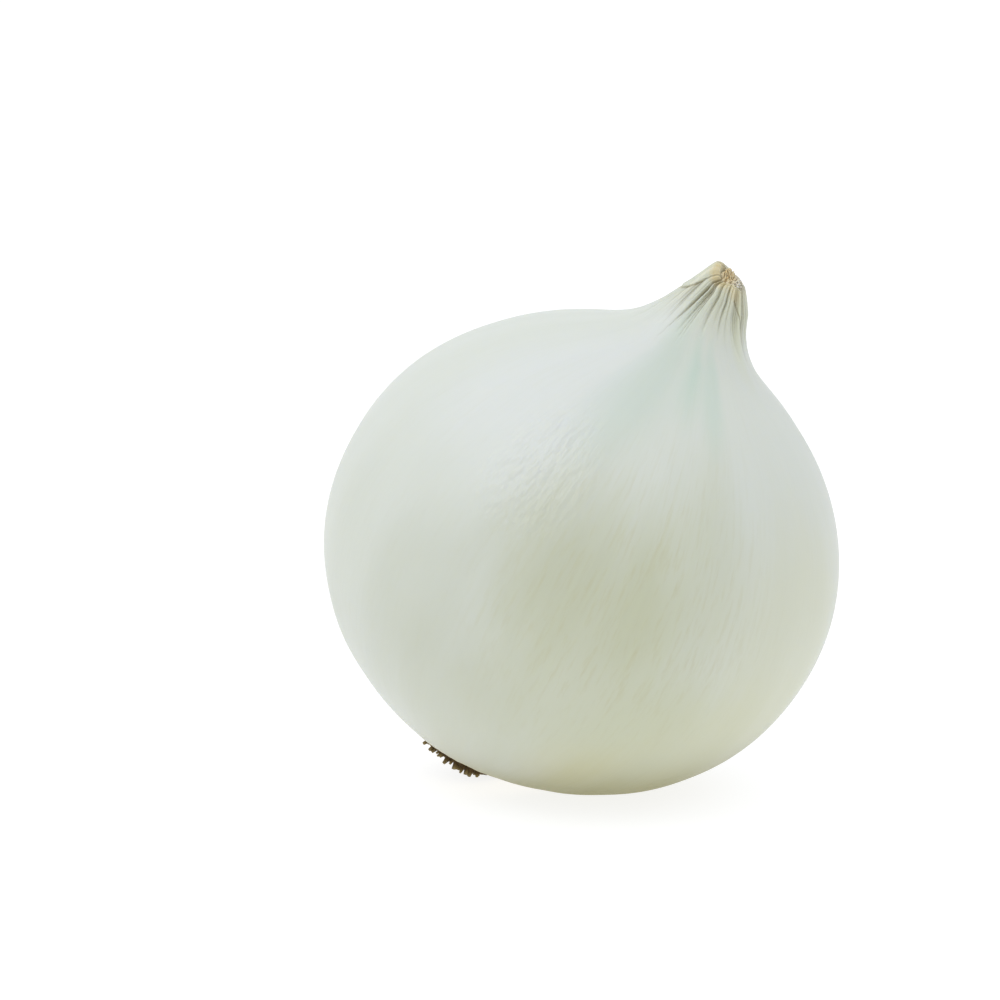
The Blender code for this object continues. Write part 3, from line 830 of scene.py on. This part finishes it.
def parchment_skin():
    """Dry leaf skin: satin, faintly veined, and lit a little from inside by the flesh below."""
    material, tree, shader = new_finish("parchment_skin_dried_on_the_bulb")
    grown = add_node(tree, "ShaderNodeAttribute", {"attribute_name": "grown"}, {}).outputs["Vector"]
    notes = {name: add_node(tree, "ShaderNodeAttribute", {"attribute_name": name}, {}).outputs["Fac"]
             for name in ("shade", "dry", "contact_shade")}
    patterns = drawn_out_noise(tree, grown, (VEINS, FIBRES, STROKES, CRINKLES, CLOUD))
    tree.links.new(skin_colour(tree, grown, notes, patterns), shader.inputs["Base Color"])
    tree.links.new(skin_bump(tree, grown, patterns), shader.inputs["Normal"])
    shader.inputs["Roughness"].default_value = 0.42
    shader.inputs["IOR"].default_value = 1.45
    shader.inputs["Specular IOR Level"].default_value = 0.3
    shader.inputs["Subsurface Weight"].default_value = 0.35
    shader.inputs["Subsurface Radius"].default_value = (1.0, 0.9, 0.6)
    shader.inputs["Subsurface Scale"].default_value = 0.003
    return material


skin_finish = parchment_skin()
print("steps in the skin's finish:", len(skin_finish.node_tree.nodes))

# %% [markdown]
# Two notes are left to work out before the skin can be built: how dry each point is, and how near the
# table it lies. Dry patches by the mouth are listed one by one, like the washes. The other note is a
# matter of height alone.

# %% Note what is dry and where painted shade falls near the table, and build the skin
DRY_PATCHES = [(-95, 57.0, 4.0, 1.0, 0.8), (-155, 57.2, 2.4, 0.35, 0.9), (-40, 56.0, 1.3, 0.8, 0.7)]
DRY_RIM = (56.0, 57.2, 0.25)
DRY_ROOT_END = (35.6, 39.2, 0.9)
NECK_RADIUS = 4.5
CONTACT_SHADE_REACH = 9


def dryness(grown):
    """How far the skin has dried to tan: in patches by the mouth, round the rim and by the roots."""
    start = np.arctan2(grown[:, 1], grown[:, 0])
    height = grown[:, 2]
    dry = DRY_RIM[2] * soft_step(height, *DRY_RIM[:2])
    dry += DRY_ROOT_END[2] * soft_step(-height, *DRY_ROOT_END[:2])
    for degrees, middle, width, reach, strength in DRY_PATCHES:
        across = distance_round(start, math.radians(degrees), NECK_RADIUS) / width
        dry += strength * np.exp(-across ** 2 - ((height - middle) / reach) ** 2)
    return np.clip(dry, 0, 1)


def contact_shade_near_table(points):
    """How much painted shade each point gets from lying near the table, from 1 on it to 0 well above it."""
    above = HEART.z / MM - points @ DOWN
    return np.exp(-(above / CONTACT_SHADE_REACH) ** 2)


points, faces, grown, shade = skin_mesh()
skin = add_piece("bulb_skin", points, faces, skin_finish)
# The last note is the share of painted shade near the table.
notes = {"grown": grown, "shade": shade, "dry": dryness(grown), "contact_shade": contact_shade_near_table(points)}
for name, values in notes.items():
    note_points(skin, name, values)
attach(skin, "root")
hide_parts("bulb")
print("skin:", len(points), "points,", len(faces), "faces")

# %% [markdown]
# ## The leaf ends in the mouth
#
# Inside the mouth stand the ends of the inner leaves. They were green tubes, one inside the other,
# until they dried. Then each shrank, flattened and gathered into folds, and its edge tore ragged. What
# is left is a tuft of tan paper.
#
# A tuft of separate flakes would look like straw. Rings of thin sheet, one inside the other as the
# leaves grew, keep the right order: the folds of one ring lie in the folds of the next. So each ring is
# a loop whose radius swings in and out with an uneven wave, and whose top edge is ragged.
#
# Its paper is rougher than the skin and hardly glossy. It is tan in the middle, where it is driest,
# darker in the valleys of the folds and towards the foot, which is painted shade, and pale on the side
# where the outer sheets are still thick.

# %% Paper of the shrivelled leaves
PAPER_TAN = ("#cfb481", "#e8dbb9")
PAPER_PALE = "#e6e3d6"
PAPER_SHADE = "#8d7752"
STREAKS = (0.12, 2.5, 4, 0.5)
STREAKS_SHOW = (0.3, 0.7)
PAPER_BUMP = (0.4, 0.1 * MM)


def shrivelled_paper():
    """Dry leaf ends: tan and streaked along the leaf, dull, with a little light through the thin edges."""
    material, tree, shader = new_finish("leaf_ends_shrivelled_to_paper")
    grown = add_node(tree, "ShaderNodeAttribute", {"attribute_name": "grown"}, {}).outputs["Vector"]
    shade = add_node(tree, "ShaderNodeAttribute", {"attribute_name": "shade"}, {}).outputs["Fac"]
    dry = add_node(tree, "ShaderNodeAttribute", {"attribute_name": "dry"}, {}).outputs["Fac"]
    streaks = drawn_out_noise(tree, grown, [STREAKS])[0]
    share = add_node(tree, "ShaderNodeMapRange", {},
                     {0: streaks, 1: STREAKS_SHOW[0], 2: STREAKS_SHOW[1], 3: 0, 4: 1}).outputs[0]
    tan = tinted(tree, linear(PAPER_TAN[0]), share, PAPER_TAN[1])
    paper = add_node(tree, "ShaderNodeMix", MIX_COLOUR, {0: dry, 6: linear(PAPER_PALE), 7: tan}).outputs[2]
    # Painted shade darkens the paper in the valleys of the folds and towards the foot.
    tree.links.new(tinted(tree, paper, shade, PAPER_SHADE), shader.inputs["Base Color"])
    bump = add_node(tree, "ShaderNodeBump", {},
                    {"Height": streaks, "Strength": PAPER_BUMP[0], "Distance": PAPER_BUMP[1]})
    tree.links.new(bump.outputs[0], shader.inputs["Normal"])
    shader.inputs["Roughness"].default_value = 0.65
    shader.inputs["Subsurface Weight"].default_value = 0.2
    shader.inputs["Subsurface Radius"].default_value = (1.0, 0.7, 0.4)
    shader.inputs["Subsurface Scale"].default_value = 0.0008
    return material


paper_finish = shrivelled_paper()
print("steps in the paper's finish:", len(paper_finish.node_tree.nodes))

# %% [markdown]
# The rings share the way their folds wander, so they nest, and each adds a lean and a fine wave of its
# own. The torn edge is a sum of a few waves, and stands highest on the crests of the folds.

# %% Folds and torn edge of a leaf
LEAF_WANDER = (0.5, 0.3, 0.2)
LEAF_LEAN = 0.2
LEAF_ROUNDNESS = 0.8
LEAF_FINE_SHARE = 0.15
LEAF_FINE_FOLDS = 2.7
LEAF_CREST_RISE = 0.12
LEAF_TEARS = (2, 5, 9)
LEAF_TEAR_DEPTH = (0.2, 0.5)


def gathers(turn, up, folds, lags, draw):
    """A loop gathered into uneven folds, as a wave between -1 in the valleys and 1 on the crests."""
    wander = sum(sway * np.sin((i + 1) * turn + lags[i]) for i, sway in enumerate(LEAF_WANDER))
    lean = draw.uniform(-LEAF_LEAN, LEAF_LEAN) * up
    folded = 2 * np.abs(np.sin(0.5 * folds * (turn + lean) + wander)) ** LEAF_ROUNDNESS - 1
    fine = np.sin(round(LEAF_FINE_FOLDS * folds) * turn + draw.uniform(0, 2 * math.pi) + 2 * up)
    return (1 - LEAF_FINE_SHARE) * folded + LEAF_FINE_SHARE * fine


def ragged_edge(turn, wave, draw):
    """How far the torn top of a ring rises above or falls below its height, in mm."""
    ragged = LEAF_CREST_RISE * wave
    for tears in LEAF_TEARS:
        depth = draw.uniform(*LEAF_TEAR_DEPTH) / tears
        ragged = ragged + depth * np.sin(tears * turn + draw.uniform(0, 2 * math.pi))
    return ragged


print("tears of a leaf's edge:", LEAF_TEARS)

# %% [markdown]
# One ring is a grid like the skin, narrower at the top. The rings follow the sloping mouth, but the
# inner ones are pulled over towards the low side, as in a bent neck. They start a little above the
# floor of the mouth, so that no ring touches the skin there.

# %% One ring of leaf ends
GAP = 0.3
MOUTH_FLOOR = MOUTH_OUTLINE[-1][1]
RIM_HEIGHT = MOUTH_OUTLINE[2][1]
OUTER_REACH = 2.45
LEAF_ROWS = 22
LEAF_COLUMNS = 150
LEAF_THICKNESS = 0.12
LEAF_CORE = 0.1
LEAF_TAPER = 0.15
LEAVES_LEAN = 1.0
LEAVES_RISE = 0.8
LEAVES_FOLLOW = 0.75
LEAF_NOTE = (3, 7)
# Painted shade in the valleys of the folds, less towards the top.
LEAF_FOLD_SHADE = (0.35, 0.65, 0.3)
LEAVES_DRY = (1.7, 0.1)
LEAVES_PALE = 1.2
LEAVES_PALE_SPREAD = math.radians(110)


def leaf_notes(reach, turn, up, height, wave):
    """Where one ring grew, how much painted shade lies in its folds, and how dry it is."""
    round_reach, apart = LEAF_NOTE
    grown = note_of_growth(turn, height + apart * reach, round_reach)
    plain, in_folds, less_at_top = LEAF_FOLD_SHADE
    shade = np.clip(plain - in_folds * wave, 0, 1) * (1 - less_at_top * up)
    outwards = reach / OUTER_REACH
    driest, least = LEAVES_DRY
    pale = LEAVES_PALE * outwards * bump_round(turn, HOOD_CENTRE, LEAVES_PALE_SPREAD)
    dry = np.broadcast_to(np.clip(driest - outwards - pale, least, 1), shade.shape)
    return grown.reshape(-1, 3), shade.ravel(), dry.ravel()


def leaf_ring(reach, top, folds, depth, lags, draw):
    """One ring of leaf ends: its inner and its outer layer of points, and the notes for the finish."""
    turn = 2 * math.pi * np.arange(LEAF_COLUMNS)[None, :] / LEAF_COLUMNS
    up = np.linspace(0, 1, LEAF_ROWS)[:, None]
    wave = gathers(turn, up, folds, lags, draw)
    bottom = MOUTH_FLOOR + GAP
    height = bottom + (top - bottom + ragged_edge(turn, wave, draw)) * up
    swing = depth * wave * (0.5 + 0.5 * up)
    radius = np.maximum(reach * (1 - LEAF_TAPER * up ** 2) + swing, LEAF_CORE)
    outwards = reach / OUTER_REACH
    lift, aside = mouth_shape(turn, soft_step(height, MOUTH_FLOOR, RIM_HEIGHT))
    height = height + LEAVES_RISE * lift * up * outwards
    aside = LEAVES_FOLLOW * aside + LEAVES_LEAN * (1 - outwards) * up ** 2
    layers = []
    for side in (0, LEAF_THICKNESS):
        layer = onion_points(radius + side, turn - TWIST * (RIM_HEIGHT - TWIST_FOOT), height)
        layer[..., 0] -= aside
        layers.append(layer.reshape(-1, 3))
    return layers, leaf_notes(reach, turn, up, height, wave)


print("leaf ends are", LEAF_THICKNESS, "mm thin")

# %% [markdown]
# A sheet with no thickness would show its back as a hole, so each ring is two layers, joined along the
# bottom and the top. Six rings fill the mouth, each a little narrower and higher than the one round it.

# %% Fill the mouth with rings
LEAF_SEED = 21
LEAF_RINGS = [(OUTER_REACH, 56.9, 11, 0.2), (2.05, 57.25, 11, 0.28), (1.65, 57.5, 11, 0.3),
              (1.25, 57.7, 8, 0.3), (0.85, 57.9, 6, 0.26), (0.45, 58.0, 4, 0.16)]


def sheet_faces(rows, columns):
    """Faces that close an outer and an inner ring-shaped grid into one thin sheet."""
    outer = grid_faces(rows, columns)
    inner = outer[:, ::-1] + rows * columns
    bottom = np.arange(columns)
    top = bottom + (rows - 1) * columns
    edges = []
    for low, high in ((bottom + rows * columns, bottom), (top, top + rows * columns)):
        edges.append(np.stack([low, np.roll(low, -1), np.roll(high, -1), high], axis=-1))
    return np.vstack([outer, inner] + edges)


def leaf_ends():
    """All the leaf ends as one mesh, ring inside ring."""
    draw = random.Random(LEAF_SEED)
    lags = [draw.uniform(0, 2 * math.pi) for _ in LEAF_WANDER]
    points, faces, grown, shade, dry = [], [], [], [], []
    for reach, top, folds, depth in LEAF_RINGS:
        (inner, outer), (place, fold_shade, tan) = leaf_ring(reach, top, folds, depth, lags, draw)
        faces.append(sheet_faces(LEAF_ROWS, LEAF_COLUMNS) + sum(len(part) for part in points))
        points += [outer, inner]
        grown += [place, place]
        shade += [fold_shade, fold_shade]
        dry += [tan, tan]
    notes = {"grown": np.vstack(grown), "shade": np.concatenate(shade), "dry": np.concatenate(dry)}
    return np.vstack(points), np.vstack(faces).tolist(), notes


points, faces, notes = leaf_ends()
tip = add_piece("leaf_ends", points, faces, paper_finish)
for name, values in notes.items():
    note_points(tip, name, values)
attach(tip, "root")
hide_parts("neck_tip")
print("leaf ends:", len(faces), "faces")

# %% [markdown]
# ## The root plate and its roots
#
# Everything in an onion hangs on a thin disc of stem at its base. Roots grow down from the disc in
# rings, older ones outside. When the crop is lifted they dry brown and are rubbed or cut off, and their
# stubs stay as a stiff brush of bristles, each about half a millimetre thick.
#
# The brush could be hair, but stubs this short and thick show their cut ends, so each is a small
# tapered tube. They splay outwards, more so towards the edge of the plate, and stop short of the table.
# A fixed seed makes each a little different in place, length, width and bend.
#
# Cork and dry root are matt. Both share one brown, speckled by a fine noise, and paler at the cut ends.

# %% Brown of the dried roots
ROOT_BROWN = "#604a24"
ROOT_CUT_END = "#a08c5a"
SPECKLES_PER_METRE = 900
SPECKLE_DETAIL = 5
SPECKLE_SHARE = 0.6


def dried_roots():
    """Dried roots and cork: matt, brown and speckled, with paler cut ends."""
    material, tree, shader = new_finish("roots_dried_and_trimmed")
    place = add_node(tree, "ShaderNodeTexCoord", {}, {}).outputs["Object"]
    speckles = add_node(tree, "ShaderNodeTexNoise", {},
                        {"Vector": place, "Scale": SPECKLES_PER_METRE, "Detail": SPECKLE_DETAIL}).outputs[0]
    end = add_node(tree, "ShaderNodeAttribute", {"attribute_name": "dry"}, {}).outputs["Fac"]
    brown = tinted(tree, linear(ROOT_BROWN), end, ROOT_CUT_END)
    speckled = add_node(tree, "ShaderNodeMix", {**MIX_COLOUR, "blend_type": "MULTIPLY"},
                        {0: SPECKLE_SHARE, 6: brown, 7: speckles})
    tree.links.new(speckled.outputs[2], shader.inputs["Base Color"])
    shader.inputs["Roughness"].default_value = 0.85
    return material


root_finish = dried_roots()
print("speckles are", round(1 / (SPECKLES_PER_METRE * MM), 1), "mm apart")

# %% [markdown]
# One root is a line of points with a tube round it. The line starts inside the plate, so no root stands
# off it, leans outwards and then bends. Where the table is near the root is cut short, and where there
# is no room at all it is left out. The tube tapers to the cut end, which is closed with a flat face.

# %% One root, as a tube along a line
PLATE_RADIUS = 7.7
PLATE_THICKNESS = 1.3
PLATE_TOP = ROOT_RECESS[0][1] - GAP
ROOT_RADIUS = (0.3, 0.5)
ROOT_TAPER = (1.2, 0.65)
ROOT_LENGTH = (0.6, 1.45)
ROOT_HELD = 0.5 * PLATE_THICKNESS
ROOT_SPLAY = math.radians(42)
ROOT_STRAY = math.radians(14)
ROOT_BEND = (0.3, 0.8)
ROOT_SIDES = 8
ROOT_ROWS = 7
ROOT_CLEARANCE = 0.05
LEAST_DROP = 0.01


def root_spine(reach, azimuth, draw):
    """The line that one root follows, from inside the plate to its cut end, or None without room."""
    outward = Vector((math.cos(azimuth), math.sin(azimuth), 0))
    base = outward * (PLATE_RADIUS * reach) + Vector((0, 0, PLATE_TOP - PLATE_THICKNESS + ROOT_HELD))
    splay = ROOT_SPLAY * reach ** 2 + draw.uniform(-ROOT_STRAY, ROOT_STRAY)
    sideways = outward.cross(Vector((0, 0, 1))) * math.tan(draw.uniform(-ROOT_STRAY, ROOT_STRAY))
    heading = (outward * math.sin(splay) - Vector((0, 0, math.cos(splay))) + sideways).normalized()
    length = draw.uniform(*ROOT_LENGTH) + ROOT_HELD
    bend = outward * draw.uniform(-ROOT_BEND[0], ROOT_BEND[0]) + sideways * ROOT_BEND[1]
    down = Vector(DOWN)
    above_table = HEART.z / MM - down.dot(base - Vector((ROOT_ASIDE, 0, 0)))
    room = above_table - ROOT_CLEARANCE - ROOT_RADIUS[1]
    length = min(length, room / max(heading.dot(down), LEAST_DROP))
    if length < ROOT_HELD:
        return None
    shares = [row / (ROOT_ROWS - 1) for row in range(ROOT_ROWS)]
    return [base + heading * length * share + bend * share * (1 - 0.5 * share) for share in shares]


def tube(spine, radii, sides, turn):
    """A closed, tapered tube along a line: its points, its faces and how far along each point is."""
    points, shares = [], []
    for i, place in enumerate(spine):
        ahead = spine[min(i + 1, len(spine) - 1)] - spine[max(i - 1, 0)]
        across = ahead.to_track_quat("Z", "Y")
        for side in range(sides):
            angle = turn + side * 2 * math.pi / sides
            points.append(place + across @ Vector((math.cos(angle), math.sin(angle), 0)) * radii[i])
            shares.append(i / (len(spine) - 1))
    faces = grid_faces(len(spine), sides).tolist()
    faces.append(list(reversed(range(sides))))
    faces.append([(len(spine) - 1) * sides + side for side in range(sides)])
    return points, faces, shares


print("top of the root plate at", round(PLATE_TOP, 2), "mm")

# %% [markdown]
# The rings of roots are spaced by the arc between one root and the next, so a small ring holds fewer.
# The roots are made round a straight axis and then moved on to the lopsided onion by the same function
# as the skin, which keeps the gap between them even.

# %% A brush of roots
ROOT_SEED = 5
ROOT_RINGS = 8
ROOT_OUTER_RING = 0.95
ROOT_RING_TURN = 0.5
ROOT_SPACING = 0.6
ROOT_SHIFT = (0.35, 0.04)


def roots():
    """All the roots, in rings on the plate: points, faces, and how near its cut end each point is."""
    draw = random.Random(ROOT_SEED)
    points, faces, ends = [], [], []
    for ring in range(ROOT_RINGS):
        reach = ROOT_OUTER_RING * (1 - ring / ROOT_RINGS)
        count = round(2 * math.pi * reach * PLATE_RADIUS / ROOT_SPACING)
        for i in range(count):
            shift = draw.uniform(-ROOT_SHIFT[0], ROOT_SHIFT[0])
            azimuth = 2 * math.pi * (i + shift) / count + ROOT_RING_TURN * ring
            spine = root_spine(reach + draw.uniform(-ROOT_SHIFT[1], ROOT_SHIFT[1]), azimuth, draw)
            width = draw.uniform(*ROOT_RADIUS)
            turn = draw.uniform(0, math.pi)
            if spine is None:
                continue
            radii = np.linspace(width * ROOT_TAPER[0], width * ROOT_TAPER[1], ROOT_ROWS)
            more_points, more_faces, shares = tube(spine, radii.tolist(), ROOT_SIDES, turn)
            faces += [[corner + len(points) for corner in face] for face in more_faces]
            points += more_points
            ends += [max(2 * share - 1, 0) for share in shares]
    return points, faces, ends


def on_the_onion(points):
    """Move points that were made round a straight axis to their place on the lopsided onion."""
    x, y, z = np.array([tuple(point) for point in points]).T
    return onion_points(np.hypot(x, y), np.arctan2(y, x), z)


points, faces, ends = roots()
stubs = add_piece("root_stubs", on_the_onion(points), faces, root_finish)
note_points(stubs, "dry", ends)
print("roots:", len(faces), "faces")

# %% [markdown]
# The plate is a disc whose edge bulges and wavers. The roots start inside it, so they grow out of it.
# Roots and plate together take the place of one solid of the frame.

# %% The plate that the roots grow from
PLATE_SIDES = 96
PLATE_EDGE = [(0.4, -1.0), (0.7, -1.0), (0.94, -1.0), (0.99, -0.88), (1.01, -0.65), (1.01, -0.4),
              (1.0, -0.15), (0.99, 0.0)]
PLATE_LUMPS = [(7, 0.12, 1), (17, 0.1, 0), (31, 0.08, 2)]


def plate():
    """The corky plate, a disc with a rounded and uneven edge."""
    turn = 2 * math.pi * np.arange(PLATE_SIDES)[None, :] / PLATE_SIDES
    reach = np.array([share for share, _ in PLATE_EDGE])[:, None]
    drop = np.array([share for _, share in PLATE_EDGE])[:, None]
    lumps = sum(size * np.sin(waves * turn + lag) for waves, size, lag in PLATE_LUMPS)
    radius = reach * (PLATE_RADIUS + lumps)
    height = PLATE_TOP + drop * PLATE_THICKNESS
    points = np.stack(np.broadcast_arrays(radius * np.cos(turn), radius * np.sin(turn), height), axis=-1)
    faces = grid_faces(len(PLATE_EDGE), PLATE_SIDES).tolist()
    faces.append(list(reversed(range(PLATE_SIDES))))
    faces.append([(len(PLATE_EDGE) - 1) * PLATE_SIDES + side for side in range(PLATE_SIDES)])
    return points.reshape(-1, 3).tolist(), faces


points, faces = plate()
disc = add_piece("root_plate", on_the_onion(points), faces, root_finish)
note_points(disc, "dry", np.zeros(len(points)))
for piece in (stubs, disc):
    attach(piece, "root")
    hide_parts("root_tuft")
print("root plate:", len(faces), "faces")

# %% [markdown]
# ## The table
#
# Product photographs of pale things are made on a white sweep that is lit until it shows pure white.
# Here that is a large flat board which glows a little. The glow whitens the ground without a strong
# lamp, and the paint below it is a middle grey, so the onion's faint shadow can still be seen.

# %% A white board that glows a little
BOARD_PAINT = "#88898a"
BOARD_GLOW = 0.84
BOARD_HALF_SIZE = 6.0


def white_board():
    """Matt paint, lit from behind until it is nearly white."""
    material, _, shader = new_finish("white_board_painted_matt")
    shader.inputs["Base Color"].default_value = linear(BOARD_PAINT)
    shader.inputs["Emission Color"].default_value = linear("#ffffff")
    shader.inputs["Emission Strength"].default_value = BOARD_GLOW
    shader.inputs["Roughness"].default_value = 0.9
    shader.inputs["Specular IOR Level"].default_value = 0.1
    return material


corners = [(x * BOARD_HALF_SIZE, y * BOARD_HALF_SIZE, 0) for x, y in ((-1, -1), (1, -1), (1, 1), (-1, 1))]
board = bpy.data.meshes.new("table")
board.from_pydata(corners, [], [(0, 1, 2, 3)])
board.materials.append(white_board())
table = bpy.data.objects.new("table", board)
bpy.context.scene.collection.objects.link(table)
print("table", 2 * BOARD_HALF_SIZE, "m across")

# %% [markdown]
# ## The light
#
# A pale, smooth onion shows its shape by slow changes of tone, and hard light would burn them out. So
# it stands in a tent of white cloth, brightest above and behind, which lights it from all sides.

# %% A tent of white cloth
TENT_WHITE = "#f8fbff"
TENT_BRIGHTEST = (0.15, 0.6, 0.78)
TENT_DIM_SIDE = (-0.9, 0.44)
TENT_BRIGHT_SIDE = (0.8, 1.0)


def light_tent():
    """White cloth all round, dimmer the farther a direction is from the brightest one."""
    world = bpy.data.worlds.new("light_tent")
    world.use_nodes = True
    tree = world.node_tree
    direction = add_node(tree, "ShaderNodeTexCoord", {}, {}).outputs["Generated"]
    nearness = add_node(tree, "ShaderNodeVectorMath", {"operation": "DOT_PRODUCT"},
                        {0: direction, 1: TENT_BRIGHTEST}).outputs["Value"]
    strength = add_node(tree, "ShaderNodeMapRange", SMOOTHLY,
                        {0: nearness, 1: TENT_DIM_SIDE[0], 2: TENT_BRIGHT_SIDE[0], 3: TENT_DIM_SIDE[1],
                         4: TENT_BRIGHT_SIDE[1]}).outputs[0]
    background = tree.nodes["Background"]
    background.inputs["Color"].default_value = linear(TENT_WHITE)
    tree.links.new(strength, background.inputs["Strength"])
    return world


bpy.context.scene.world = light_tent()
print("the tent's brightness:", TENT_DIM_SIDE[1], "to", TENT_BRIGHT_SIDE[1])

# %% [markdown]
# One large soft box at the upper left in front adds the broad highlight on that shoulder. Its width of
# 0.7 m at a distance of about one metre keeps the edge of the highlight soft. The Standard view shows
# the colours as they were picked, so the white of the board stays white.

# %% One soft box
BOX_PLACE = Vector((-0.38, -0.42, 0.92))
BOX_AIM = Vector((0, 0, 0.045))
BOX_SIZE = 0.7
BOX_WATTS = 3.3
BOX_WHITE = "#fffefa"


def soft_box():
    """A square lamp behind white cloth, turned towards the onion."""
    lamp = bpy.data.lights.new("soft_box_upper_left", "AREA")
    lamp.size = BOX_SIZE
    lamp.energy = BOX_WATTS
    lamp.color = linear(BOX_WHITE)[:3]
    box = bpy.data.objects.new("soft_box_upper_left", lamp)
    box.location = BOX_PLACE
    box.rotation_euler = (BOX_AIM - BOX_PLACE).to_track_quat("-Z", "Y").to_euler()
    return box


bpy.context.scene.collection.objects.link(soft_box())
bpy.context.scene.view_settings.view_transform = "Standard"
bpy.context.view_layer.update()
print("soft box", round((BOX_PLACE - BOX_AIM).length, 2), "m away")
